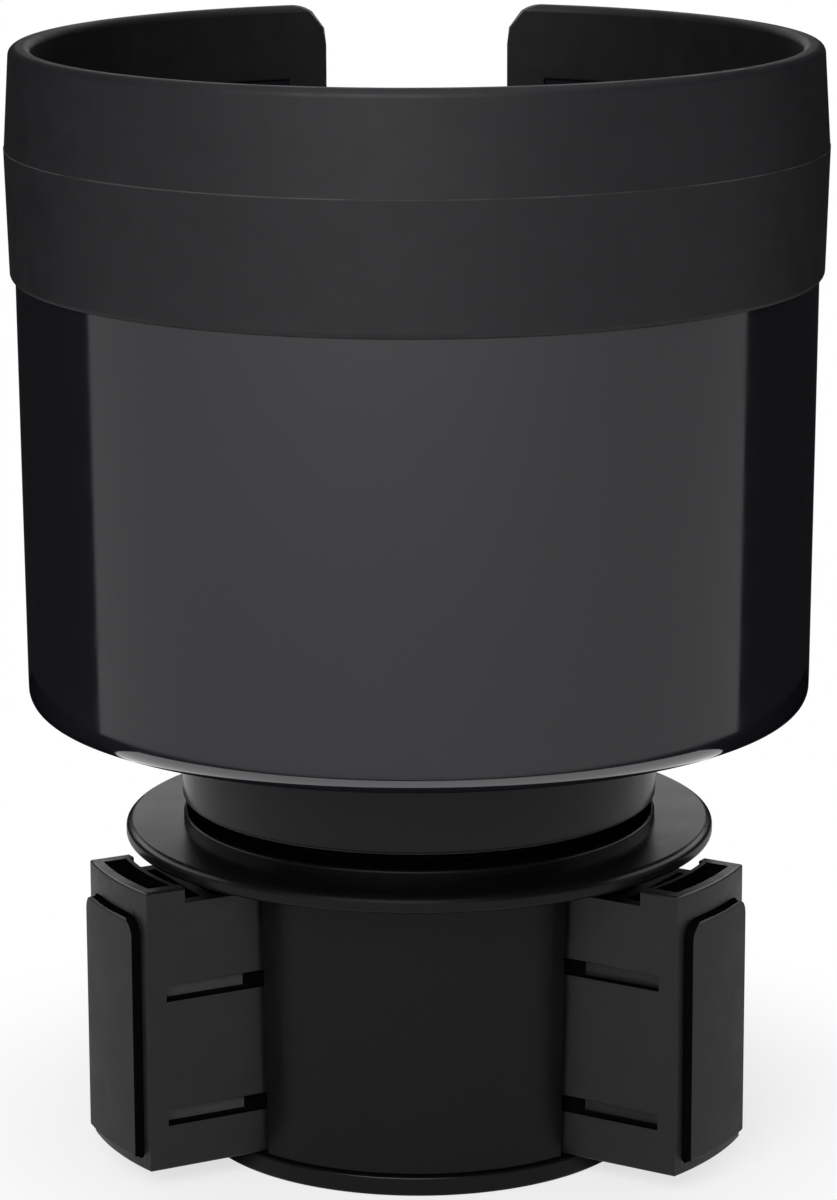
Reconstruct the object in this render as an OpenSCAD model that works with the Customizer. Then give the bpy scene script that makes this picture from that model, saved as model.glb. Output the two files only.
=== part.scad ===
// Car cup holder: a wide cup that stands on an expanding base.
// The base drops into a vehicle's own holder. Turning the cup turns a cam plate,
// and the plate's three spiral slots push three legs outwards until they grip.
// The model stands on z = 0 with its axis on Z. The handle slot is at the back, +Y.
// It is drawn with the legs fully out.

/* [Cup] */
// Outer radius of the cup wall at the floor
cup_r = 50.6; // [46:0.1:58]
// Radius that the wall gains up to the rim
cup_flare = 0.75; // [0:0.05:1.5]
// Height of the plastic cup
cup_h = 83.8; // [70:0.1:105]
// Wall thickness of the cup
cup_wall = 2.2; // [2:0.1:3]
// Thickness of the cup's floor
cup_floor_t = 2.6; // [2.2:0.1:3.6]
// Radius of the outer edge between wall and floor
cup_edge_r = 1.6; // [0.6:0.1:2]
// Thickness of the rubber mat on the floor
mat_t = 1.6; // [1.2:0.1:3]

/* [Handle slot] */
// Width of the slot between its finished edges
slot_w = 24.8; // [16:0.2:30]
// Depth of the slot below the rim
slot_depth = 62; // [45:1:66]
// Radius where the slot opens into the rim
slot_corner_r = 5; // [2:0.5:7]

/* [Rim band] */
// Height of the band on the outside
band_h = 29.2; // [22:0.1:34]
// Height of the band's lining on the inside
lining_h = 9.9; // [6:0.1:16]
// Thickness of the lining
lining_t = 0.5; // [0.4:0.05:0.8]
// Thickness of the rubber over the top of the wall
band_cap_t = 0.9; // [0.6:0.1:1.4]
// Thickness of the rubber over the slot's edges
band_end_t = 0.9; // [0.6:0.1:1.4]
// Depth by which the wall is set back under the band
band_rebate = 0.7; // [0.4:0.05:0.9]
// Distance from the rim down to the band's widest line
seam_drop = 12.7; // [8:0.1:18]
// Distance by which the band's widest line stands proud of the cup wall
band_bulge = 0.9; // [0.6:0.05:1.4]
// Width of the flat border inside, along the slot's edges
border_w = 5; // [3:0.5:8]

/* [Neck] */
// Outer radius of the neck
neck_r = 30.9; // [26:0.1:33]
// Height of the neck's outer wall
neck_h = 13; // [10:0.5:20]
// Wall thickness of the neck
neck_wall = 2.4; // [1.8:0.1:3]
// Radius of the step that turns on the base
hub_r = 28.2; // [25.5:0.1:28.4]
// Height of that step
hub_h = 1.5; // [1:0.1:2.5]
// Radius of the stem that passes into the base
stem_r = 13.9; // [10:0.1:15]

/* [Base] */
// Radius of the base cylinder at its lower end
base_r = 28.65; // [27.4:0.05:30]
// Radius that the cylinder gains up to the disc
base_flare = 0.6; // [0:0.05:1]
// Wall thickness of the cylinder at its lower end
base_wall = 2; // [1.6:0.1:2.6]
// Height from the ground to the underside of the disc
disc_z = 40.2; // [36:0.1:46]
// Radius of the disc
disc_r = 38.35; // [36:0.05:41]
// Thickness of the disc
disc_t = 2.2; // [1.6:0.1:3]
// Radius of the raised deck on the disc
deck_r = 30.8; // [29:0.1:33]
// Height of the deck above the disc
deck_h = 1.2; // [0.8:0.1:2]
// Thickness of the bottom plate
plate_t = 2.6; // [2:0.1:4]
// Distance by which the bottom plate stands proud of the cylinder
plate_proud = 0.6; // [0.2:0.05:1]

/* [Legs] */
// Radius of the legs' outer faces when fully out
leg_r = 44.2; // [42.5:0.05:45]
// Width of each leg
leg_w = 17.2; // [15:0.1:18]
// Distance that each leg travels
leg_travel = 7.8; // [5:0.1:8]
// Turn of the cup that moves the legs over that distance
cam_turn = 120; // [100:5:130]
// Turn of the whole set of legs about the axis
legs_azimuth = -2; // [-10:0.5:10]
// Length of a leg from its outer face to its inner end
leg_length = 27; // [26:0.1:28]
// Length of the tall outer end of a leg
leg_head = 6.2; // [5.6:0.1:6.4]
// Height by which the rest of the leg is lower
leg_step = 2; // [1.8:0.1:3]
// Thickness of a leg's side walls
leg_side_t = 1.8; // [1.4:0.1:2.2]
// Thickness of a leg's outer wall
leg_outer_t = 1.4; // [1.2:0.1:1.8]
// Distance from the outer face to the arc rib
rib_inset = 4.5; // [3.8:0.1:4.8]
// Thickness of the arc rib
rib_t = 0.6; // [0.6:0.1:1.2]
// Height of the guide grooves
groove_h = 2.1; // [1.6:0.1:2.6]
// Depth of the guide grooves
groove_depth = 1.3; // [1:0.1:1.6]
// Distance from the outer corner to the closed end of a groove
groove_end = 2.6; // [2:0.1:4]
// Depth of the upper groove below the leg's top, on its left side
groove_drop_left = 12.6; // [8:0.1:16]
// Depth of the upper groove below the leg's top, on its right side
groove_drop_right = 10.7; // [8:0.1:16]
// Depth of the lower grooves below the leg's top
groove_drop_low = 29.1; // [22:0.1:31]

/* [Grip pads] */
// Distance by which a pad stands proud of its leg
pad_proud = 1.1; // [0.6:0.1:2]
// Depth of the recess that holds the pad
recess_depth = 0.8; // [0.5:0.1:1.2]
// Margin between the recess and the leg's sides and lower edge
recess_margin = 1.35; // [1:0.05:2.5]
// Margin between the recess and the leg's top
recess_top = 3.5; // [3:0.1:7]
// Gap between pad and recess, all round
pad_gap = 0.3; // [0.2:0.05:0.8]
// Corner radius at the top of a pad
pad_corner_r = 2.2; // [1:0.1:4]

/* [Mechanism] */
// Thickness of the cam plate
cam_t = 1.6; // [1.2:0.1:1.7]
// Radius of the steel pins
pin_r = 1.5; // [1:0.1:1.8]
// Length of the pins
pin_length = 9; // [6:0.5:12]
// Distance from a leg's inner end to its pin
pin_inset = 3.5; // [3.2:0.1:4.5]
// Width across the flats of the key on the stem
key_flats = 12; // [9:0.5:13]
// Thickness of the washer under the cam plate
washer_t = 1.2; // [0.8:0.1:1.4]
// Radius of the washer under the cam plate
washer_r = 8; // [7.8:0.1:8.2]
// Thickness of the ring that the hub turns on
ring_t = 1.2; // [0.8:0.1:1.6]
// Width of the ring that the hub turns on
ring_w = 6; // [4:0.5:8]

/* [Fasteners] */
// Shank radius of the screws
screw_r = 1.4; // [1:0.1:1.6]
// Head radius of the screws
screw_head_r = 2.8; // [2.2:0.1:3]
// Head height of the screws
screw_head_h = 1.3; // [1:0.1:1.5]
// Length of the screws below the head
screw_length = 9; // [6:0.5:9.5]
// Number of screws that hold the cup to the neck
cup_screw_count = 4; // [3:1:6]
// Radius of the circle of screws that hold the cup to the neck
cup_screw_pcr = 21; // [16:0.5:23]

/* [Clearances] */
// Gap that shows between the deck and the turning hub
deck_gap = 0.5; // [0.3:0.05:0.9]
// Gap beside and below the sliding legs
slide_gap = 0.3; // [0.2:0.05:0.4]
// Gap between a leg's sides and the edges of its window in the cylinder
window_gap = 0.75; // [0.5:0.05:1.1]
// Gap above and below the turning cam plate
cam_gap = 0.3; // [0.2:0.05:0.4]
// Radial clearance of the stem in its bore
stem_gap = 0.08; // [0.03:0.01:0.1]
// Clearance of a pin in its cam slot
pin_gap = 0.15; // [0.1:0.01:0.25]
// Clearance between the hub and the ring that it turns on
ring_gap = 0.05; // [0.02:0.01:0.1]
// Clearance between pieces that are assembled once
fit_gap = 0.05; // [0.02:0.01:0.1]

/* [Hidden] */
$fn = 180;
eps = 0.01;

// Where each leg points
azimuth_left = 210 + legs_azimuth;
azimuth_right = 330 + legs_azimuth;
azimuth_back = 90 + legs_azimuth;
leg_azimuths = [azimuth_left, azimuth_right, azimuth_back];

// Levels from the ground up
leg_z = plate_t + slide_gap;
leg_top = disc_z - slide_gap;
leg_low_top = leg_top - leg_step;
cam_top = disc_z - cam_gap;
cam_z = cam_top - cam_t;
window_top = leg_low_top + slide_gap;
disc_top = disc_z + disc_t;
deck_top = disc_top + deck_h;
hub_z = deck_top + deck_gap;
neck_z = hub_z + hub_h;
cup_z = neck_z + neck_h;
floor_top = cup_z + cup_floor_t;
shell_top = cup_z + cup_h;
rim_top = shell_top + band_cap_t;
band_z = rim_top - band_h;
lining_z = rim_top - lining_h;
seam_z = rim_top - seam_drop;

// Base
base_top_r = base_r + base_flare;
base_in_r = base_r - base_wall;
channel_w = leg_w + 2 * slide_gap;
disc_low_r = 0.7;
disc_edge_r = 0.9;
deck_edge_r = 0.4;
base_chamfer = 0.3;
guide_t = 1.6;
guide_bite = 0.5;
rail_reach = groove_depth - fit_gap;
rail_inset = 3;
rail_in = channel_w / 2 + rail_inset;
rail_out = sqrt(base_in_r * base_in_r - channel_w * channel_w / 4);
rail_h = groove_h - 2 * slide_gap;
window_w = leg_w + 2 * window_gap;
window_bite = 0.5;
window_in = sqrt(base_in_r * base_in_r - window_w * window_w / 4) - window_bite;
boss_wall = 1.8;
boss_bite = 1;
boss_r = screw_r + boss_wall;
boss_at = base_in_r - boss_r + boss_bite;
ring_margin = 1.6;
ring_r = hub_r - ring_margin;
plate_head_z = 0.3;
plate_top_r = 0.3;
plate_low_r = 0.5;

// Legs, along their own X axis
leg_in = leg_r - leg_length;
corner_x = sqrt(leg_r * leg_r - leg_w * leg_w / 4);
step_x = leg_r - leg_head;
pin_x = leg_in + pin_inset;
floor_t = 2.2;
edge_r = 0.35;
core_wall = 4.6;
head_pocket_reach = 3;
groove_back_reach = 1.2;
recess_cover = 1;
pin_deck_t = 5.9;
pad_low_corner_r = 0.6;
pad_edge_r = 0.5;
pin_top_gap = 0.2;
pin_edge_r = 0.3;
recess_r = leg_r - recess_depth;
recess_w = leg_w - 2 * recess_margin;
recess_z = leg_z + recess_margin;
recess_h = leg_top - recess_top - recess_z;
pad_z = recess_z + pad_gap;
pad_h = recess_h - 2 * pad_gap;

// Cam
cam_rim_gap = 0.4;
cam_r = base_in_r - cam_rim_gap;
cam_slope = leg_travel / cam_turn;
key_r = key_flats / 2 / cos(30);

// Neck
neck_in_r = neck_r - neck_wall;
web_over_hub = 1.5;
web_t = hub_h + web_over_hub;
column_r = 8;
neck_edge_r = 0.5;
hub_chamfer = 0.2;
neck_rib_t = 1.6;
neck_rib_bite = 0.5;
spigot_h = 1.8;
spigot_t = 1.55;
cup_boss_wall = 1.9;
cup_boss_r = screw_r + cup_boss_wall;

// Cup, mat and screws
inner_edge_r = 1.4;
band_low_r = 0.8;
band_top_r = 1.1;
lining_chamfer = 0.3;
mat_margin = 1.7;
mat_rings = 3;
mat_ring_w = 1.2;
mat_ring_depth = 0.4;
mat_top_r = 0.5;
mat_low_r = 0.1;
head_gap = 0.2;
head_dome_r = 0.5;
head_seat_r = 0.1;
drive_l = 2.8;
drive_w = 0.6;
drive_depth = 0.8;

// Points of an arc round a centre, from one angle to another
function arc(centre, r, from, to, steps = 10) =
    [for (i = [0:steps])
        let (a = from + (to - from) * i / steps)
        centre + r * [cos(a), sin(a)]];

// Outer and inner radius of the cup wall at a height
function wall_out(z) = cup_r + cup_flare * (z - cup_z) / cup_h;
function wall_in(z) = wall_out(z) - cup_wall;

// Outline of a rounded rectangle that stands on z0, with its own radii at top and bottom
function panel_points(w, z0, h, top_r, low_r) = concat(
    arc([w / 2 - low_r, z0 + low_r], low_r, -90, 0),
    arc([w / 2 - top_r, z0 + h - top_r], top_r, 0, 90),
    arc([-w / 2 + top_r, z0 + h - top_r], top_r, 90, 180),
    arc([-w / 2 + low_r, z0 + low_r], low_r, 180, 270)
);

// Outline of the handle slot with its edges set back by a distance
function slot_points(back) =
    let (half = slot_w / 2 + back)
    let (corner = slot_corner_r - back)
    let (centre_x = slot_w / 2 + slot_corner_r)
    let (centre_z = rim_top - slot_corner_r)
    let (low_z = rim_top - slot_depth + slot_w / 2)
    concat(
        arc([0, low_z], half, 180, 360, 24),
        arc([centre_x, centre_z], corner, 180, 90),
        [[centre_x, rim_top + 5], [-centre_x, rim_top + 5]],
        arc([-centre_x, centre_z], corner, 90, 0)
    );

// A disc with rounded upper and lower edges
module rounded_disc(r, z, h, top_r, low_r) {
    rotate_extrude()
        polygon(concat(
            [[0, z]],
            arc([r - low_r, z + low_r], low_r, -90, 0),
            arc([r - top_r, z + h - top_r], top_r, 0, 90),
            [[0, z + h]]
        ));
}

// A flat ring between two radii
module ring(r_out, r_in, z, h) {
    difference() {
        translate([0, 0, z])
            cylinder(r = r_out, h = h);
        translate([0, 0, z - 1])
            cylinder(r = r_in, h = h + 2);
    }
}

// A round hole or rod from one height to another
module rod(r, z0, z1) {
    translate([0, 0, z0])
        cylinder(r = r, h = z1 - z0);
}

// A bar that is centred on the X axis
module bar(x0, x1, w, z0, z1) {
    translate([x0, -w / 2, z0])
        cube([x1 - x0, w, z1 - z0]);
}

// A bar that is centred on the Y axis
module bar_y(w, y0, y1, z0, z1) {
    translate([-w / 2, y0, z0])
        cube([w, y1 - y0, z1 - z0]);
}

// A prism along the X axis from an outline in Y and Z
module prism_x(x0, x1, points) {
    translate([x0, 0, 0])
        rotate([90, 0, 90])
            linear_extrude(height = x1 - x0)
                polygon(points);
}

// A prism through the back wall from an outline in X and Z
module prism_back(points) {
    translate([0, 2 * cup_r, 0])
        rotate([90, 0, 0])
            linear_extrude(height = 2 * cup_r)
                polygon(points);
}

// Places a child once on each leg's direction
module at_legs() {
    for (a = leg_azimuths)
        rotate([0, 0, a])
            children();
}

// Places a child once on each boss between the legs
module at_bosses() {
    for (a = leg_azimuths)
        rotate([0, 0, a + 60])
            translate([boss_at, 0, 0])
                children();
}

// Places a child on each screw between cup and neck
module at_cup_screws() {
    for (i = [0:cup_screw_count - 1])
        rotate([0, 0, (i + 0.5) * 360 / cup_screw_count])
            translate([cup_screw_pcr, 0, 0])
                children();
}

// Outline of the V of two guide walls between one leg at -60 degrees and the next at 60
function guide_points() =
    let (near = channel_w / 2 - guide_bite)
    let (far = channel_w / 2 + guide_t)
    let (along = (base_r + 1) * [cos(60), sin(60)])
    let (across = [sin(60), -cos(60)])
    let (near_end = along + near * across)
    let (far_end = along + far * across)
    [
        [near / sin(60), 0], near_end, far_end,
        [far / sin(60), 0], [far_end[0], -far_end[1]], [near_end[0], -near_end[1]]
    ];

// Outline of a leg's channel, which is wider where it cuts its window in the cylinder
function channel_points() = [
    [-1, -channel_w / 2], [window_in, -channel_w / 2], [window_in, -window_w / 2],
    [disc_r, -window_w / 2], [disc_r, window_w / 2],
    [window_in, window_w / 2], [window_in, channel_w / 2], [-1, channel_w / 2]
];

// Rails that stand out of the guide walls into the grooves of one leg
module rails() {
    side = channel_w / 2;
    depth = rail_reach + guide_t / 2;
    for (s = [[1, groove_drop_left], [-1, groove_drop_right], [1, groove_drop_low], [-1, groove_drop_low]]) {
        y = s[0] > 0 ? side - rail_reach : -side - guide_t / 2;
        translate([rail_in, y, leg_top - s[1] - groove_h + slide_gap])
            cube([rail_out - rail_in, depth, rail_h]);
    }
}

// Room inside the cylinder, round the guide walls and the screw bosses
module base_room() {
    difference() {
        rod(base_in_r, plate_t - 1, disc_z);
        for (a = leg_azimuths)
            rotate([0, 0, a + 60])
                translate([0, 0, plate_t - 2])
                    linear_extrude(height = leg_low_top - plate_t + 2)
                        polygon(guide_points());
        at_bosses()
            rod(boss_r, plate_t - 2, leg_low_top);
    }
}

// Cylinder, disc and deck in one moulding, with a channel for each leg
module base_housing() {
    color([0.07, 0.07, 0.075])
    difference() {
        rotate_extrude()
            polygon(concat(
                [[0, plate_t]],
                [[base_r - base_chamfer, plate_t], [base_r, plate_t + base_chamfer]],
                [[base_top_r, disc_z]],
                arc([disc_r - disc_low_r, disc_z + disc_low_r], disc_low_r, -90, 0),
                arc([disc_r - disc_edge_r, disc_top - disc_edge_r], disc_edge_r, 0, 90),
                [[deck_r, disc_top]],
                arc([deck_r - deck_edge_r, deck_top - deck_edge_r], deck_edge_r, 0, 90),
                [[0, deck_top]]
            ));
        base_room();
        at_legs()
            translate([0, 0, plate_t - 1])
                linear_extrude(height = window_top - plate_t + 1)
                    polygon(channel_points());
        at_bosses()
            rod(screw_r + fit_gap, plate_t - 1, plate_t + screw_length);
        rod(stem_r + stem_gap, disc_z - 1, deck_top + 1);
        ring(ring_r + fit_gap, ring_r - ring_w - fit_gap, hub_z - ring_gap - ring_t, ring_t + 1);
    }
    color([0.07, 0.07, 0.075])
        at_legs()
            rails();
}

// Round plate that closes the base
module bottom_plate() {
    color([0.06, 0.06, 0.065])
    difference() {
        rounded_disc(base_r + plate_proud, 0, plate_t, plate_top_r, plate_low_r);
        at_bosses() {
            rod(screw_r + fit_gap, -1, plate_t + 1);
            rod(screw_head_r + head_gap, -1, screw_head_h + plate_head_z);
        }
    }
}

// A screw whose head starts at a height and whose shank goes down or up from there
module screw(head_z, up) {
    shank_z = up ? head_z + screw_head_h - eps : head_z - screw_length;
    drive_z = up ? head_z - 1 : head_z + screw_head_h - drive_depth;
    difference() {
        union() {
            if (up)
                rounded_disc(screw_head_r, head_z, screw_head_h, head_seat_r, head_dome_r);
            else
                rounded_disc(screw_head_r, head_z, screw_head_h, head_dome_r, head_seat_r);
            rod(screw_r, shank_z, shank_z + screw_length + eps);
        }
        for (a = [0, 90])
            rotate([0, 0, a])
                bar(-drive_l / 2, drive_l / 2, drive_w, drive_z, drive_z + drive_depth + 1);
    }
}

// Three screws that hold the bottom plate
module bottom_screws() {
    color([0.45, 0.45, 0.47])
        at_bosses()
            screw(plate_head_z, true);
}

// Low-friction ring in the deck that carries the hub
module friction_ring() {
    color([0.09, 0.09, 0.09])
        ring(ring_r, ring_r - ring_w, hub_z - ring_gap - ring_t, ring_t);
}

// One leg with its outer end on X
module leg() {
    inner_w = leg_w - 2 * leg_side_t;
    rib_r = leg_r - rib_inset;
    pin_deck = leg_low_top - pin_deck_t;
    difference() {
        intersection() {
            rounded_disc(leg_r, leg_z, leg_top - leg_z, edge_r, edge_r);
            prism_x(leg_in, leg_r + 1, panel_points(leg_w, leg_z, leg_top - leg_z, edge_r, edge_r));
        }
        bar(leg_in - 1, step_x, leg_w + 2, leg_low_top, leg_top + 1);
        // outer pocket, narrower behind the pad's recess
        intersection() {
            bar(corner_x - rib_inset - 1, leg_r, inner_w, leg_z + floor_t, leg_top + 1);
            union() {
                ring(leg_r - leg_outer_t - recess_depth, rib_r, leg_z + floor_t, leg_top);
                ring(leg_r - leg_outer_t, rib_r, leg_top - recess_top + recess_cover, leg_top);
            }
        }
        // second pocket, behind the arc rib
        intersection() {
            bar(step_x - head_pocket_reach, leg_r, inner_w, leg_z + floor_t, leg_top + 1);
            rod(rib_r - rib_t, leg_z, leg_top + 1);
        }
        // core of the sliding part
        bar(pin_x + pin_inset, step_x - core_wall, inner_w, leg_z + floor_t, leg_top + 1);
        // core below the pin's boss
        bar(leg_in + leg_side_t, pin_x + pin_inset - leg_side_t, inner_w, leg_z - 1, pin_deck);
        translate([pin_x, 0, 0])
            rod(pin_r + fit_gap, pin_deck - 1, leg_top + 1);
        // recess for the pad
        difference() {
            prism_x(corner_x - 2, leg_r + 1, panel_points(recess_w, recess_z, recess_h,
                pad_corner_r + pad_gap, pad_low_corner_r + pad_gap));
            rod(recess_r, leg_z - 1, leg_top + 1);
        }
        leg_grooves(0);
    }
    // walls behind the grooves, inside the core and pockets
    difference() {
        intersection() {
            bar(leg_in + eps, corner_x - rib_inset + groove_back_reach, leg_w - leg_side_t,
                leg_z + 1, leg_low_top - 1);
            leg_grooves(leg_side_t);
        }
        leg_grooves(0);
    }
}

// Grooves along both sides of a leg, or the walls behind them where grow is above zero
module leg_grooves(grow) {
    depth = groove_depth + (grow > 0 ? 1 : 0);
    for (s = [[1, groove_drop_left], [-1, groove_drop_right], [1, groove_drop_low], [-1, groove_drop_low]]) {
        z = leg_top - s[1] - groove_h;
        y = s[0] > 0 ? leg_w / 2 - depth : -leg_w / 2 - 1;
        translate([leg_in - 1, y, z - grow / 2])
            cube([corner_x - groove_end - leg_in + 1, depth + 1, groove_h + grow]);
    }
}

// One rubber pad with its outer face on X
module pad() {
    intersection() {
        difference() {
            rounded_disc(leg_r + pad_proud, pad_z, pad_h, pad_edge_r, pad_edge_r);
            rod(recess_r + fit_gap, leg_z, leg_top);
        }
        prism_x(corner_x - 2, leg_r + pad_proud + 1,
            panel_points(recess_w - 2 * pad_gap, pad_z, pad_h, pad_corner_r, pad_low_corner_r));
    }
}

// One steel pin that stands up out of a leg into the cam plate
module pin() {
    translate([pin_x, 0, 0])
        rounded_disc(pin_r, cam_top - pin_top_gap - pin_length, pin_length, pin_edge_r, pin_edge_r);
}

module leg_left() {
    color([0.08, 0.08, 0.085])
        rotate([0, 0, azimuth_left])
            leg();
}

module leg_right() {
    color([0.08, 0.08, 0.085])
        rotate([0, 0, azimuth_right])
            leg();
}

module leg_back() {
    color([0.08, 0.08, 0.085])
        rotate([0, 0, azimuth_back])
            leg();
}

module pad_left() {
    color([0.05, 0.05, 0.05])
        rotate([0, 0, azimuth_left])
            pad();
}

module pad_right() {
    color([0.05, 0.05, 0.05])
        rotate([0, 0, azimuth_right])
            pad();
}

module pad_back() {
    color([0.05, 0.05, 0.05])
        rotate([0, 0, azimuth_back])
            pad();
}

module pin_left() {
    color([0.6, 0.6, 0.62])
        rotate([0, 0, azimuth_left])
            pin();
}

module pin_right() {
    color([0.6, 0.6, 0.62])
        rotate([0, 0, azimuth_right])
            pin();
}

module pin_back() {
    color([0.6, 0.6, 0.62])
        rotate([0, 0, azimuth_back])
            pin();
}

// Centre line of a cam slot: the radius falls evenly as the plate turns under the pin
function cam_point(turn, side) =
    let (r = pin_x - cam_slope * turn)
    let (slope = atan2(cam_slope * 180 / PI, r))
    r * [cos(turn), -sin(turn)] + side * [cos(turn + slope), -sin(turn + slope)];

// Outline of a cam slot round its centre line, with round ends
function cam_slot_points(half, steps = 48) =
    let (end_slope = atan2(cam_slope * 180 / PI, pin_x - leg_travel))
    let (start_slope = atan2(cam_slope * 180 / PI, pin_x))
    concat(
        [for (i = [0:steps]) cam_point(cam_turn * i / steps, half)],
        arc(cam_point(cam_turn, 0), half, -cam_turn - end_slope, -cam_turn - end_slope - 180, 12),
        [for (i = [steps:-1:0]) cam_point(cam_turn * i / steps, -half)],
        arc(cam_point(0, 0), half, 180 - start_slope, -start_slope, 12)
    );

// Plate with three spiral slots that drives the legs
module cam_plate() {
    color([0.78, 0.78, 0.75])
    difference() {
        rod(cam_r, cam_z, cam_top);
        at_legs()
            translate([0, 0, cam_z - 1])
                linear_extrude(height = cam_t + 2)
                    polygon(cam_slot_points(pin_r + pin_gap));
        translate([0, 0, cam_z - 1])
            cylinder(r = key_r + fit_gap, h = cam_t + 2, $fn = 6);
    }
}

// Washer that clamps the cam plate to the stem
module cam_washer() {
    color([0.6, 0.6, 0.62])
        ring(washer_r, screw_r + fit_gap, cam_z - washer_t, washer_t);
}

// Screw that holds washer and cam plate
module cam_screw() {
    color([0.6, 0.6, 0.62])
        screw(cam_z - washer_t - screw_head_h, true);
}

// Neck with the turning hub and the stem that carries the cam plate
module neck() {
    color([0.07, 0.07, 0.075])
    difference() {
        union() {
            difference() {
                rotate_extrude()
                    polygon(concat(
                        [[0, hub_z], [hub_r - hub_chamfer, hub_z]],
                        [[hub_r, hub_z + hub_chamfer], [hub_r, neck_z]],
                        arc([neck_r - neck_edge_r, neck_z + neck_edge_r], neck_edge_r, -90, 0),
                        [[neck_r, cup_z], [0, cup_z]]
                    ));
                rod(neck_in_r, hub_z + web_t, cup_z + 1);
            }
            rod(stem_r, cam_top, hub_z + eps);
            translate([0, 0, cam_z + fit_gap])
                cylinder(r = key_r, h = cam_t, $fn = 6);
            rod(column_r, hub_z + web_t - eps, cup_z);
            at_cup_screws()
                rod(cup_boss_r, hub_z + web_t - eps, cup_z);
            at_cup_screws()
                bar(-cup_screw_pcr, neck_in_r + neck_rib_bite - cup_screw_pcr, neck_rib_t,
                    hub_z + web_t - eps, cup_z - spigot_h - 1);
        }
        rod(screw_r + fit_gap, cam_z - 1, cam_z + screw_length);
        at_cup_screws()
            rod(screw_r + fit_gap, floor_top - screw_head_h - screw_length - 1, cup_z + 1);
    }
}

// Cup with its handle slot, set back under the band
module cup_shell() {
    low_in = wall_in(floor_top + inner_edge_r);
    color([0.05, 0.05, 0.055])
    difference() {
        union() {
            rotate_extrude()
                polygon(concat(
                    [[0, cup_z]],
                    arc([cup_r - cup_edge_r, cup_z + cup_edge_r], cup_edge_r, -90, 0),
                    [[wall_out(band_z), band_z], [wall_out(band_z) - band_rebate, band_z]],
                    [[wall_out(shell_top) - band_rebate, shell_top], [wall_in(shell_top), shell_top]],
                    arc([low_in - inner_edge_r, floor_top + inner_edge_r], inner_edge_r, 0, -90),
                    [[0, floor_top]]
                ));
            ring(neck_in_r - fit_gap, neck_in_r - fit_gap - spigot_t, cup_z - spigot_h, spigot_h + 1);
        }
        prism_back(slot_points(0));
        intersection() {
            prism_back(slot_points(band_end_t));
            rod(2 * cup_r, band_z, rim_top + 5);
        }
        at_cup_screws() {
            rod(screw_r + fit_gap, cup_z - 1, floor_top + 1);
            rod(screw_head_r + head_gap, floor_top - screw_head_h, floor_top + 1);
        }
    }
}

// Screws that hold the cup to the neck
module cup_screws() {
    color([0.45, 0.45, 0.47])
        at_cup_screws()
            screw(floor_top - screw_head_h, false);
}

// Outside of the band, from its lower edge over the rim to the lining
function band_outside() =
    let (low_r = wall_out(shell_top) + band_bulge / 2)
    let (wide_r = wall_out(shell_top) + band_bulge)
    let (top_r = wall_out(shell_top) + band_bulge / 9)
    let (in_r = wall_in(shell_top) - lining_t)
    concat(
        arc([low_r - band_low_r, band_z + band_low_r], band_low_r, -90, 0),
        [[wide_r, seam_z]],
        arc([top_r - band_top_r, rim_top - band_top_r], band_top_r, 0, 90),
        arc([in_r + band_cap_t, rim_top - band_cap_t], band_cap_t, 90, 180)
    );

// Rubber band that wraps the rim and the slot's upper edges
module rim_band() {
    border_t = 0.8 * lining_t;
    lining_low_r = wall_in(lining_z) - lining_t;
    border_r = wall_in(band_z) - border_t;
    color([0.1, 0.1, 0.105])
    difference() {
        rotate_extrude()
            polygon(concat(
                [[border_r, band_z]],
                band_outside(),
                [[lining_low_r, lining_z + lining_chamfer], [wall_in(lining_z) - border_t, lining_z]]
            ));
        prism_back(slot_points(0));
        // room for the plastic wall, which stops short of the slot
        difference() {
            rotate_extrude()
                polygon([
                    [wall_in(band_z - 1), band_z - 1],
                    [wall_out(band_z - 1) - band_rebate, band_z - 1],
                    [wall_out(shell_top) - band_rebate, shell_top],
                    [wall_in(shell_top), shell_top]
                ]);
            prism_back(slot_points(band_end_t));
        }
        // the inside below the lining is bare, apart from a border along the slot
        difference() {
            rod(wall_in(lining_z) + lining_t, band_z - 1, lining_z);
            bar_y(slot_w + 2 * border_w, 0, 2 * cup_r, band_z - 2, rim_top);
        }
    }
}

// Rubber mat that lies on the cup's floor over the screws
module floor_mat() {
    mat_r = wall_in(floor_top) - mat_margin;
    ring_step = mat_r / (mat_rings + 1);
    color([0.06, 0.06, 0.06])
    difference() {
        rounded_disc(mat_r, floor_top, mat_t, mat_top_r, mat_low_r);
        for (i = [1:mat_rings])
            ring(i * ring_step + mat_ring_w / 2, i * ring_step - mat_ring_w / 2,
                floor_top + mat_t - mat_ring_depth, 1);
    }
}

base_housing();
bottom_plate();
bottom_screws();
friction_ring();
leg_left();
leg_right();
leg_back();
pad_left();
pad_right();
pad_back();
pin_left();
pin_right();
pin_back();
cam_plate();
cam_washer();
cam_screw();
neck();
cup_shell();
cup_screws();
rim_band();
floor_mat();
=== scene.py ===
"""Looks of a car cup holder: a wide cup with a handle slot on a base that spreads.

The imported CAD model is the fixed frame. The cup, its band and the floor mat are
modelled here at the CAD's sizes and stand for their nodes. The neck and the moulded
pieces of the base are welded copies of the CAD meshes, these with broken edges.
All lengths are in metres. The ground is z = 0, the front faces -Y, and the handle
slot is at the back, +Y.
"""
import logging
import math
from dataclasses import dataclass, replace
from enum import Enum
from functools import partial
from typing import Callable, Sequence

import bmesh
import bpy
from mathutils import Matrix, Vector


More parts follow.
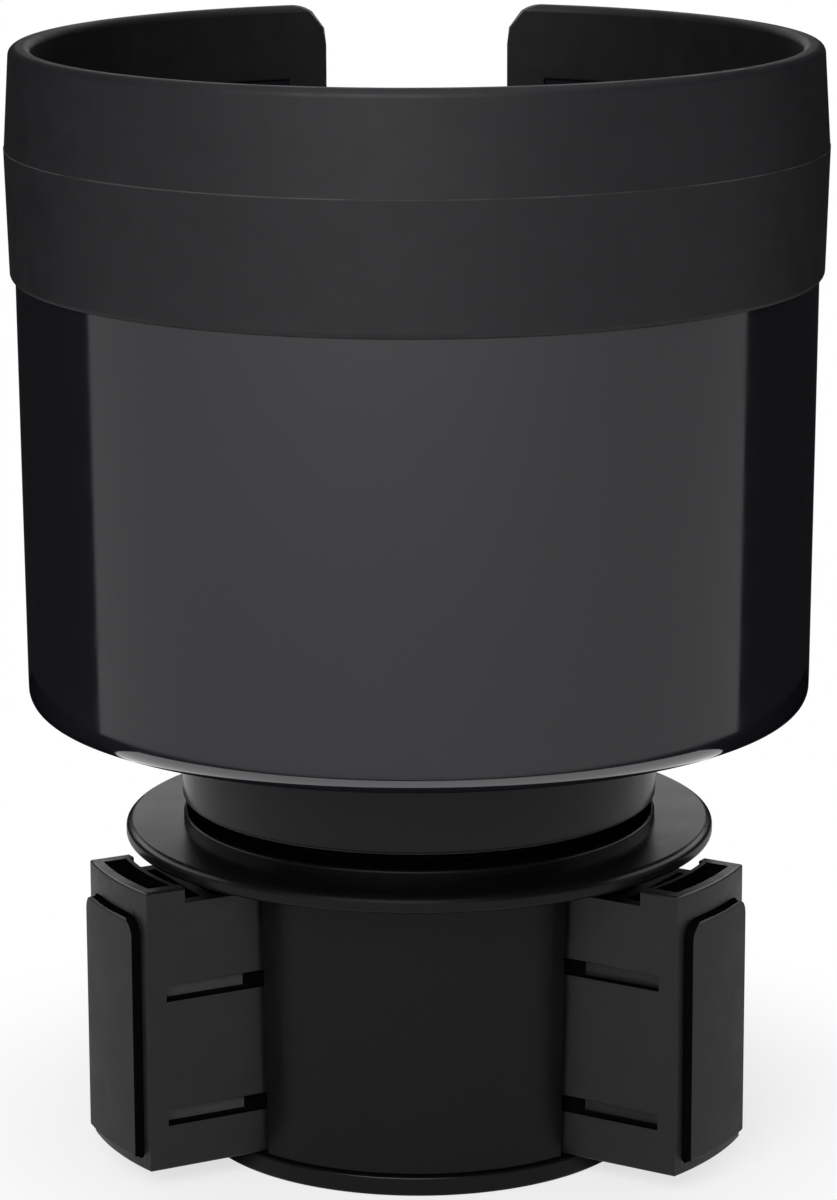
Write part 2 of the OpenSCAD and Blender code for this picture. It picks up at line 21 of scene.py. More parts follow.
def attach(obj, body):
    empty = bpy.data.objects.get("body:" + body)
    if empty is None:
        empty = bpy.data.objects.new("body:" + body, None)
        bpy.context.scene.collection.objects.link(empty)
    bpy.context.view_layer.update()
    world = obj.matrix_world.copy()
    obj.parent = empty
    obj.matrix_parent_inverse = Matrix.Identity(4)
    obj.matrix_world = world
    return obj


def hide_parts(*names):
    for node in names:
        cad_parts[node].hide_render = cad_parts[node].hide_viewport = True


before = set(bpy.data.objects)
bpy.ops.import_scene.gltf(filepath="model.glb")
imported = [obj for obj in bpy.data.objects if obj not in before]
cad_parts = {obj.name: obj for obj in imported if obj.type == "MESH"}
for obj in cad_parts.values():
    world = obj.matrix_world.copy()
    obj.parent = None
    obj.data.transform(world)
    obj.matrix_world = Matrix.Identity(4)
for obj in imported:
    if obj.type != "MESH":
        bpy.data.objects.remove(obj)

LOG = logging.getLogger("cup_holder")
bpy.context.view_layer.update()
SHARP_ANGLE = math.radians(32)
LEVEL_ANGLE = math.radians(20)
WELD_DISTANCE = 2e-6
TOUCH_DISTANCE = 1e-5
ROUNDING_ERROR = 1e-6
LEVEL_NORMAL = 0.99999
TURN_STEPS = 192
SHEET_STEPS = 32
NOISE_SPAN = (0.3, 0.7)

BMEdge = bmesh.types.BMEdge
BMesh = bmesh.types.BMesh
BMVert = bmesh.types.BMVert
Material = bpy.types.Material
Socket = bpy.types.NodeSocket
Row = tuple[float, float]
Triple = tuple[float, float, float]


class Body(str, Enum):
    """Rigid bodies of the CAD model."""

    BASE = "base"
    CUP = "cup"
    LEG_LEFT = "leg_left"
    LEG_RIGHT = "leg_right"
    LEG_BACK = "leg_back"


class Skin(Enum):
    """Two faces of a wall."""

    OUTER = 0
    INNER = 1


# Finishes


class NodeGraph:
    """Adds and links the nodes of one material or of the world."""

    def __init__(self, owner: Material | bpy.types.World) -> None:
        """Starts an empty node tree in a material or world."""
        owner.use_nodes = True
        self.tree = owner.node_tree
        self.tree.nodes.clear()

    def add(self, kind: str, **inputs: object) -> bpy.types.Node:
        """Adds a node.

        Args:
            kind: Blender's identifier of the node.
            **inputs: values of its sockets by name, with _ for a space.

        Returns:
            The new node.
        """
        node = self.tree.nodes.new(kind)
        for key, value in inputs.items():
            node.inputs[key.replace("_", " ")].default_value = value
        return node

    def link(self, source: Socket, target: Socket) -> None:
        """Joins an output socket to an input socket."""
        self.tree.links.new(source, target)

    def show(self, shader: Socket, output: str = "ShaderNodeOutputMaterial") -> None:
        """Links a shader to a new output node."""
        self.link(shader, self.add(output).inputs["Surface"])

    def place(self, kind: str = "Object") -> Socket:
        """Returns the socket of one kind of coordinates."""
        return self.add("ShaderNodeTexCoord").outputs[kind]

    def axes(self, kind: str = "Object") -> bpy.types.NodeOutputs:
        """Returns the sockets X, Y and Z of one kind of coordinates."""
        node = self.add("ShaderNodeSeparateXYZ")
        self.link(self.place(kind), node.inputs[0])
        return node.outputs

    def mix(self, share: Socket, low: Socket | Triple, high: Triple) -> Socket:
        """Mixes two colours.

        Args:
            share: socket with the share of the second colour.
            low: first colour, as a socket or a value.
            high: second colour.

        Returns:
            The socket of the mixed colour.
        """
        node = self.add("ShaderNodeMix")
        node.data_type = "RGBA"
        self.link(share, node.inputs[0])
        if isinstance(low, tuple):
            node.inputs[6].default_value = (*low, 1.0)
        else:
            self.link(low, node.inputs[6])
        node.inputs[7].default_value = (*high, 1.0)
        return node.outputs[2]

    def noise(self, size: float, detail: float = 2.0, rough: float = 0.5) -> Socket:
        """Adds a noise on Object coordinates.

        Args:
            size: size of one feature in metres.
            detail: octaves of the noise.
            rough: weight of the finer octaves.

        Returns:
            The socket with values from 0 to 1.
        """
        noise = self.add("ShaderNodeTexNoise", Scale=1 / size, Detail=detail, Roughness=rough)
        self.link(self.place(), noise.inputs["Vector"])
        return noise.outputs["Fac"]

    def ramp(
        self, value: Socket, span: Row, result: Row = (0.0, 1.0), smooth: bool = True
    ) -> Socket:
        """Maps a value from one span to another and keeps it inside.

        Args:
            value: socket of the value.
            span: values at the two ends of the span.
            result: results there.
            smooth: whether the change eases in and out.

        Returns:
            The mapped socket.
        """
        node = self.add(
            "ShaderNodeMapRange",
            From_Min=span[0], From_Max=span[1], To_Min=result[0], To_Max=result[1],
        )
        node.interpolation_type = "SMOOTHSTEP" if smooth else "LINEAR"
        self.link(value, node.inputs["Value"])
        return node.outputs["Result"]

    def math(self, operation: str, *values: Socket | float) -> Socket:
        """Adds a Math node on sockets and numbers and returns its result."""
        node = self.tree.nodes.new("ShaderNodeMath")
        node.operation = operation
        for slot, value in zip(node.inputs, values):
            if isinstance(value, (int, float)):
                slot.default_value = value
            else:
                self.link(value, slot)
        return node.outputs[0]


def new_material(name: str) -> tuple[Material, NodeGraph]:
    """Returns a new material and its empty graph."""
    material = bpy.data.materials.new(name)
    return material, NodeGraph(material)


@dataclass(frozen=True)
class Finish:
    """Opaque finish with a grain, a mottled colour and an uneven gloss.

    Attributes:
        name: name of the finish, which also names its material.
        color: base colour in linear red, green and blue.
        mottle: share by which the colour varies.
        mottle_size: size of the colour patches in metres.
        gloss: lowest and highest roughness.
        gloss_size: size of the gloss patches in metres.
        grain_size: size of the surface grain in metres.
        grain_depth: height of the grain in metres.
        wave_size: size of the slow waves in the surface in metres.
        wave_depth: height of those waves in metres.
        metal: share of metal.
        specular: specular level.
        sheen: weight of a soft sheen.
        sheen_spread: roughness of the sheen.
    """

    name: str
    color: Triple
    mottle: float = 0.1
    mottle_size: float = 0.004
    gloss: Row = (0.4, 0.5)
    gloss_size: float = 0.004
    grain_size: float = 0.0004
    grain_depth: float = 0.00001
    wave_size: float = 0.012
    wave_depth: float = 0.0
    metal: float = 0.0
    specular: float = 0.5
    sheen: float = 0.0
    sheen_spread: float = 0.6

    def material(self) -> Material:
        """Returns the material, built once, under a name that no CAD material has."""
        name = f"{self.name}_finish"
        known = bpy.data.materials.get(name)
        if known:
            return known
        material, graph = new_material(name)
        shader = graph.add(
            "ShaderNodeBsdfPrincipled", Metallic=self.metal, Specular_IOR_Level=self.specular,
            Sheen_Weight=self.sheen, Sheen_Roughness=self.sheen_spread,
        )
        graph.show(shader.outputs["BSDF"])
        graph.link(self._color(graph), shader.inputs["Base Color"])
        patches = graph.noise(self.gloss_size, detail=3.0)
        gloss = graph.ramp(patches, NOISE_SPAN, self.gloss, smooth=False)
        graph.link(gloss, shader.inputs["Roughness"])
        graph.link(self._relief(graph), shader.inputs["Normal"])
        material.diffuse_color = (*self.color, 1.0)
        return material

    def _color(self, graph: NodeGraph) -> Socket:
        """Returns the socket of the colour, which varies round its mean."""
        low, high = (tuple(c * (1 + way * self.mottle) for c in self.color) for way in (-1, 1))
        patches = graph.noise(self.mottle_size, detail=4.0)
        return graph.mix(graph.ramp(patches, NOISE_SPAN, smooth=False), low, high)

    def _relief(self, graph: NodeGraph) -> Socket:
        """Returns the socket of the normal, bent by the grain on the slow waves."""
        grain = graph.add("ShaderNodeBump", Strength=1.0, Distance=self.grain_depth)
        graph.link(graph.noise(self.grain_size, detail=3.0, rough=0.6), grain.inputs["Height"])
        if self.wave_depth:
            wave = graph.add("ShaderNodeBump", Strength=1.0, Distance=self.wave_depth)
            graph.link(graph.noise(self.wave_size, detail=1.0), wave.inputs["Height"])
            graph.link(wave.outputs["Normal"], grain.inputs["Normal"])
        return grain.outputs["Normal"]


@dataclass(frozen=True)
class SeamHighlightFinish(Finish):
    """Finish with a fine pale line, a painted highlight on the seam, that fades in places and
    runs round at one height.

    Attributes:
        seam: height of the line.
        seam_width: its width.
        seam_highlight_tone: its colour, a painted highlight.
        highlight_fade_size: size of the places where the painted highlight fades.
    """

    seam: float = 0.1306
    seam_width: float = 0.0002
    seam_highlight_tone: Triple = (0.042, 0.042, 0.042)
    highlight_fade_size: float = 0.006

    def _color(self, graph: NodeGraph) -> Socket:
        """Returns the socket of the colour with the painted highlight line over it."""
        away = graph.math("ABSOLUTE", graph.math("SUBTRACT", graph.axes()["Z"], self.seam))
        line = graph.ramp(away, (self.seam_width / 4, self.seam_width / 2), (1.0, 0.0))
        # The painted highlight fades in patches along the seam.
        left = graph.ramp(graph.noise(self.highlight_fade_size), (0.35, 0.6), (0.25, 1.0))
        share = graph.math("MULTIPLY", line, left)
        return graph.mix(share, super()._color(graph), self.seam_highlight_tone)


GLOSS_BLACK = Finish(
    "gloss_black", (0.008, 0.008, 0.0108), mottle=0.04, mottle_size=0.01,
    gloss=(0.07, 0.11), gloss_size=0.005, grain_size=0.0009, grain_depth=4e-7,
    wave_size=0.009, wave_depth=2.5e-6, specular=0.63,
)
SATIN_BLACK = Finish(
    "satin_black", (0.003, 0.003, 0.0032), mottle=0.06,
    gloss=(0.27, 0.31), gloss_size=0.005, grain_depth=2e-6, specular=0.2,
)
NECK_SATIN = replace(
    SATIN_BLACK, name="neck_satin", gloss=(0.15, 0.19), grain_depth=1e-6, sheen=0.12
)
LEG_BLACK = Finish(
    "leg_black", (0.0055, 0.0053, 0.0066), mottle=0.08, mottle_size=0.005,
    gloss=(0.34, 0.44), gloss_size=0.003, grain_size=0.0003, grain_depth=6e-6,
    wave_size=0.007, wave_depth=4e-6, specular=0.42,
)
BAND_GRAIN: dict[str, float | Row] = {
    "mottle": 0.12, "mottle_size": 0.003, "gloss": (0.5, 0.6), "grain_size": 0.00035,
    "grain_depth": 1.4e-5, "wave_size": 0.008, "wave_depth": 1.2e-5,
}
# The band's finish paints a highlight along the seam.
BAND_RUBBER = SeamHighlightFinish("band_rubber", (0.008, 0.008, 0.0098), specular=0.35, **BAND_GRAIN)
LINING_RUBBER = Finish("lining_rubber", (0.008, 0.008, 0.0083), specular=0.2, **BAND_GRAIN)
PAD_RUBBER = Finish(
    "pad_rubber", (0.019, 0.019, 0.0212), gloss=(0.5, 0.6),
    grain_size=0.00035, grain_depth=8e-6, specular=0.3,
)
MAT_RUBBER = Finish(
    "mat_rubber", (0.018, 0.018, 0.018), mottle=0.12, gloss=(0.7, 0.85),
    grain_size=0.0005, grain_depth=2e-5, specular=0.35,
)
# Painted shade: near black with no specular, for grooves, pockets, the pads' gaps and the gap
# under the neck.
PAINTED_SHADE_BLACK = Finish(
    "painted_shade_black", (0.002, 0.002, 0.0021), mottle_size=0.003, gloss=(0.55, 0.65),
    gloss_size=0.002, grain_size=0.0005, grain_depth=5e-6, specular=0.0,
)
# Painted light: a lighter black for the lit upper part of a groove's back.
GROOVE_PAINTED_LIGHT = Finish(
    "groove_painted_light", (0.033, 0.033, 0.034), mottle_size=0.003, gloss_size=0.002, grain_depth=5e-6
)
GLIDE_BLACK = Finish(
    "glide_black", (0.004, 0.004, 0.004), mottle=0.05, gloss_size=0.003, grain_depth=4e-6,
    specular=0.3,
)
ACETAL = Finish(
    "acetal", (0.74, 0.74, 0.71), mottle=0.03, gloss=(0.3, 0.4), gloss_size=0.003,
    grain_depth=4e-6,
)
SCREW_STEEL = Finish(
    "screw_steel", (0.55, 0.55, 0.57), mottle=0.08, mottle_size=0.001,
    gloss=(0.24, 0.36), gloss_size=0.0008, grain_size=0.00025, grain_depth=3e-6, metal=1.0,
)
PIN_STEEL = replace(
    SCREW_STEEL, name="pin_steel", color=(0.6, 0.6, 0.62), mottle=0.04, gloss=(0.16, 0.24),
    grain_size=0.0002, grain_depth=1e-6,
)


# Shaping


def turned(profile: Sequence[Triple]) -> BMesh:
    """Spins a profile about Z.

    Args:
        profile: corners as radius, height and rounding radius; the ends aren't rounded.

    Returns:
        The closed mesh.
    """
    bm = bmesh.new()
    verts = [bm.verts.new((r, 0.0, z)) for r, z, _ in profile]
    for a, b in zip(verts, verts[1:]):
        bm.edges.new((a, b))
    for i, (r, z, rounding) in enumerate(profile):
        if rounding <= 0:
            continue
        before, after = profile[i - 1], profile[i + 1]
        inward = Vector((r - before[0], z - before[1]))
        outward = Vector((after[0] - r, after[1] - z))
        offset = rounding * math.tan(inward.angle(outward) / 2)
        bmesh.ops.bevel(
            bm, geom=[verts[i]], offset=offset, offset_type="OFFSET", segments=6,
            profile=0.5, affect="VERTICES", material=-1,
        )
    bmesh.ops.spin(
        bm, geom=bm.verts[:] + bm.edges[:], cent=(0, 0, 0), axis=(0, 0, 1), dvec=(0, 0, 0),
        angle=math.tau, steps=TURN_STEPS, use_merge=True, use_duplicate=False,
    )
    bmesh.ops.remove_doubles(bm, verts=bm.verts, dist=WELD_DISTANCE)
    bmesh.ops.recalc_face_normals(bm, faces=bm.faces)
    return bm


def lattice(bm: BMesh, columns: int, rows: int, place: Callable[[int, int], Vector]) -> None:
    """Lays a grid of faces and moves each of its corners into place.

    Args:
        bm: mesh that gets the grid.
        columns: number of faces across.
        rows: number of faces up.
        place: gives the position of the corner at a column and a row.
    """
    made = bmesh.ops.create_grid(bm, x_segments=columns, y_segments=rows, size=1.0)
    for vert in made["verts"]:
        i = round((vert.co.x + 1) / 2 * columns)
        j = round((vert.co.y + 1) / 2 * rows)
        vert.co = place(i, j)


def levels(low: float, high: float, count: int) -> list[float]:
    """Returns count + 1 evenly spaced values from low to high."""
    return [low + (high - low) * i / count for i in range(count + 1)]


def straight(start: Row, end: Row, count: int) -> list[Row]:
    """Returns count + 1 evenly spaced points of a line in a profile."""
    return list(zip(*(levels(a, b, count) for a, b in zip(start, end))))


def arc(centre: Row, radius: float, start: float, end: float, count: int = 8) -> list[Row]:
    """Points of an arc in a profile.

    Args:
        centre: radius and height of its centre.
        radius: radius of the arc.
        start: first angle in degrees, from the outward direction.
        end: last angle in degrees.
        count: number of segments.

    Returns:
        The points as radius and height.
    """
    turns = [math.radians(a) for a in levels(start, end, count)]
    return [(centre[0] + radius * math.cos(a), centre[1] + radius * math.sin(a)) for a in turns]


def ease(value: float, low: float, high: float) -> float:
    """Returns a smooth step from 0 at low to 1 at high."""
    t = min(max((value - low) / (high - low), 0.0), 1.0)
    return t * t * (3 - 2 * t)


def wrapped(angle: float) -> float:
    """Returns an angle from 0 to 2 pi as one from -pi to pi."""
    return angle if angle <= math.pi else angle - math.tau


def sharp_edges(bm: BMesh, angle: float) -> list[BMEdge]:
    """Returns the closed edges whose faces meet at more than an angle."""
    return [e for e in bm.edges if e.is_manifold and e.calc_face_angle(0.0) > angle]


def break_edges(bm: BMesh, edges: Sequence[BMEdge], width: float, segments: int = 3) -> None:
    """Rounds edges, if there are any.

    Args:
        bm: mesh that holds the edges.
        edges: edges to round.
        width: width of the rounding on each face.
        segments: faces across the rounding.
    """
    if not edges or width <= 0:
        return
    bmesh.ops.bevel(
        bm, geom=list(edges), offset=width, offset_type="OFFSET", segments=segments,
        profile=0.5, affect="EDGES", clamp_overlap=True, material=-1,
    )


def level_rims(bm: BMesh) -> list[BMEdge]:
    """Returns the shallow edges round level faces, which shade flat within them."""
    return [
        e for e in bm.edges
        if e.calc_face_angle(1.0) < LEVEL_ANGLE
        and sum(abs(f.normal.z) > LEVEL_NORMAL for f in e.link_faces) == 1
    ]


def add_object(name: str, data: bpy.types.ID) -> bpy.types.Object:
    """Returns a new object of the scene that shows a mesh, a light or a camera."""
    made = bpy.data.objects.new(name, data)
    bpy.context.scene.collection.objects.link(made)
    return made


def add_mesh(name: str, bm: BMesh, *materials: Material) -> bpy.types.Object:
    """Turns a mesh into an object of the scene.

    Args:
        name: name of the object.
        bm: mesh at its place in the frame; it is freed.
        *materials: materials of its faces.

    Returns:
        The object.
    """
    mesh = bpy.data.meshes.new(name)
    bm.to_mesh(mesh)
    bm.free()
    for material in materials:
        mesh.materials.append(material)
    return add_object(name, mesh)


@dataclass(frozen=True)
class Piece:
    """One shown piece: what it is called, moves with, is made of and stands for."""

    name: str
    body: Body
    finish: Finish
    nodes: tuple[str, ...]
    others: tuple[Finish, ...] = ()
    slot: str = ""

    def build(self, bm: BMesh, creases: Sequence[BMEdge] = ()) -> None:
        """Turns a mesh into the finished piece, which rides on its body.

        Args:
            bm: mesh at its place in the frame; it is freed.
            creases: edges that stay crisp although they are shallow.
        """
        for face in bm.faces:
            face.smooth = True
        for edge in bm.edges:
            edge.smooth = not (edge.is_manifold and edge.calc_face_angle(0.0) > SHARP_ANGLE)
        for edge in creases:
            edge.smooth = False
        materials = [finish.material() for finish in (self.finish, *self.others)]
        piece = add_mesh(self.name, bm, *materials)
        shading = piece.modifiers.new("weighted_normals", "WEIGHTED_NORMAL")
        shading.mode = "FACE_AREA"
        shading.keep_sharp = True
        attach(piece, self.body.value)
        self.slot or self.finish.name
        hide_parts(*self.nodes)
        LOG.info("%s rides on %s", self.name, self.body.value)


# Cup


@dataclass(frozen=True)
class Wall:
    """The cup's wall, a cone that widens slightly upwards."""

    foot: float = 0.0586
    height: float = 0.0838
    radius: float = 0.0506
    flare: float = 0.00075
    thickness: float = 0.0022

    def at(self, skin: Skin, z: float) -> float:
        """Returns the radius of a skin of the wall at a height."""
        outer = self.radius + self.flare * (z - self.foot) / self.height
        return outer if skin is Skin.OUTER else outer - self.thickness

    @property
    def top(self) -> float:
        """Height of the wall's upper edge."""
        return self.foot + self.height


@dataclass(frozen=True)
class HandleSlot:
    """Slot in the back wall with a round foot and a flared mouth."""

    half: float = 0.0124
    centre: float = 0.0937
    flare: float = 0.005
    mouth: float = 0.1433

    def edge(self, z: float, back: float = 0.0) -> float:
        """Distance from the middle to the slot's side.

        Args:
            z: height.
            back: distance by which the side is set back.

        Returns:
            The distance along X.
        """
        rise = z - (self.mouth - self.flare)
        reach = self.flare - back
        if rise <= 0:
            return self.half + back
        return self.half + self.flare - math.sqrt(max(reach * reach - rise * rise, 0.0))

    def round_foot(self, angle: float) -> Row:
        """Returns the point of the slot's foot at an angle in degrees, as X and height."""
        turn = math.radians(angle)
        return self.half * math.cos(turn), self.centre + self.half * math.sin(turn)


WALL = Wall()
SLOT = HandleSlot()
SLOT_RADIUS = 0.051
HELD_COLUMNS: Row = (0.55, 1.1)
HELD_RADII: Row = (0.034, 0.045)


def on_wall(column: float, radius: float, z: float, shift: float = 0.0) -> Vector:
    """Places a point on a skin of the wall.

    Near the slot a column keeps its X on every skin, so that the slot's sides stay
    parallel. Further round it keeps its angle.

    Args:
        column: angle from the middle of the back, in radians, from -pi to pi.
        radius: radius of the skin there.
        z: height.
        shift: distance along X by which the slot's flare moves the column.

    Returns:
        The position.
    """
    hold = (1 - ease(abs(column), *HELD_COLUMNS)) * ease(radius, *HELD_RADII)
    angle = column
    if hold > 0:
        x = SLOT_RADIUS * math.sin(column) + math.copysign(shift, column)
        angle = hold * math.asin(min(max(x / radius, -1.0), 1.0)) + (1 - hold) * column
    return Vector((radius * math.sin(angle), radius * math.cos(angle), z))


@dataclass(frozen=True)
class CupShell:
    """Black cup with its floor, set back under the band, with the slot cut out.

    A block of the grid round the slot is replaced by a collar, whose lines follow
    the slot's outline, so that the slot's edges can be rounded evenly.
    """

    block_half: float = 0.0254
    block_foot: float = 0.068
    floor_top: float = 0.0612
    edge_radius: float = 0.0022
    inner_edge_radius: float = 0.0014
    band_foot: float = 0.1141
    rebate: float = 0.0007
    set_back: float = 0.0009
    inner_step: float = 0.0003
    beside_edge: float = 0.001
    edge_break: float = 0.0004
    edge_reach: float = 0.0194
    edge_angle: float = math.radians(50)
    collar_shares: tuple[float, ...] = (0.0, 0.07, 0.16, 0.3, 0.5, 0.75, 1.0)
    block_columns: int = 32
    front_columns: int = 208
    foot_rows: int = 12
    piece: Piece = Piece("cup_shell_moulding", Body.CUP, GLOSS_BLACK, ("cup_shell",))

    def lower_rows(self, skin: Skin) -> list[Row]:
        """Returns the rows from the middle of the floor up to the collar's block."""
        if skin is Skin.OUTER:
            z, r, edge = WALL.foot, WALL.at(skin, WALL.foot), self.edge_radius
        else:
            z, r, edge = self.floor_top, WALL.at(skin, self.floor_top), self.inner_edge_radius
        flat = [(radius, z) for radius in levels(0.0, r - edge - self.beside_edge, 8)]
        heights = levels(z + edge + self.beside_edge, self.block_foot, 3)
        wall = [(WALL.at(skin, h), h) for h in heights]
        return flat + arc((r - edge, z + edge), edge, -90, 0, 12) + wall

    def upper_rows(self, skin: Skin) -> list[Triple]:
        """Returns the rows of the block as radius, height and set-back of the slot."""
        beside_foot = levels(self.block_foot, SLOT.centre, self.foot_rows)
        below_band = levels(SLOT.centre, self.band_foot, 6)[1:]
        rows = [(WALL.at(skin, z), z, 0.0) for z in beside_foot + below_band]
        cut = self.rebate if skin is Skin.OUTER else 0.0
        step = 0.0 if skin is Skin.OUTER else self.inner_step
        under_band = levels(self.band_foot + step, WALL.top, 6)
        return rows + [(WALL.at(skin, z) - cut, z, self.set_back) for z in under_band]

    def skin(self, bm: BMesh, skin: Skin) -> None:
        """Adds one skin of the cup: floor, wall and collar."""
        lower = self.lower_rows(skin)
        upper = self.upper_rows(skin)
        rows = lower + [(r, z) for r, z, _ in upper[1:]]
        half, start = self.block_half, math.asin(self.block_half / SLOT_RADIUS)
        front = [wrapped(a) for a in levels(start, math.tau - start, self.front_columns)]
        lattice(bm, self.front_columns, len(rows) - 1, lambda i, j: on_wall(front[i], *rows[j]))
        back = [math.asin(x / SLOT_RADIUS) for x in levels(-half, half, self.block_columns)]
        lattice(bm, self.block_columns, len(lower) - 1, lambda i, j: on_wall(back[i], *lower[j]))
        self.collar(bm, skin, upper)

    def collar(self, bm: BMesh, skin: Skin, upper: Sequence[Triple]) -> None:
        """Adds the grid that follows the slot's outline.

        Args:
            bm: mesh that gets the grid.
            skin: which side of the wall it is on.
            upper: rows of the block, as upper_rows gives them.
        """
        half, foot = self.block_half, self.foot_rows
        beside = [z for _, z, _ in upper[1:foot]]
        outline = [(-half, z) for z in reversed(beside)]
        outline += [(x, self.block_foot) for x in levels(-half, half, self.block_columns)]
        outline += [(half, z) for z in beside]
        above = [(SLOT.edge(z, back), z, half, z, r) for r, z, back in upper[foot:]]
        stations = [(-x, z, -out, z, r) for x, z, out, _, r in reversed(above)]
        for k, out in enumerate(outline, 1):
            angle = 180 + 180 * k / (len(outline) + 1)
            stations.append((*SLOT.round_foot(angle), *out, 0.0))
        stations += above

        def place(i: int, j: int) -> Vector:
            """Returns the position at a station and a share of the way outwards."""
            x0, z0, x1, z1, fixed = stations[i]
            share = self.collar_shares[j]
            x, z = x0 + (x1 - x0) * share, z0 + (z1 - z0) * share
            radius = fixed or WALL.at(skin, z)
            return Vector((x, math.sqrt(radius * radius - x * x), z))

        lattice(bm, len(stations) - 1, len(self.collar_shares) - 1, place)

    def build(self) -> None:
        """Builds the cup."""
        bm = bmesh.new()
        for skin in Skin:
            self.skin(bm, skin)
        bmesh.ops.remove_doubles(bm, verts=bm.verts, dist=WELD_DISTANCE)
        bmesh.ops.bridge_loops(bm, edges=[e for e in bm.edges if e.is_boundary])
        bmesh.ops.recalc_face_normals(bm, faces=bm.faces)

        def beside_slot(vert: BMVert) -> bool:
            """Tells whether a corner lies on the slot's side or foot, below the band."""
            x, y, z = vert.co
            return abs(x) < self.edge_reach and y > 0 and z <= self.band_foot

        sharp = sharp_edges(bm, self.edge_angle)
        edges = [e for e in sharp if all(beside_slot(v) for v in e.verts)]
        break_edges(bm, edges, self.edge_break)
        self.piece.build(bm)


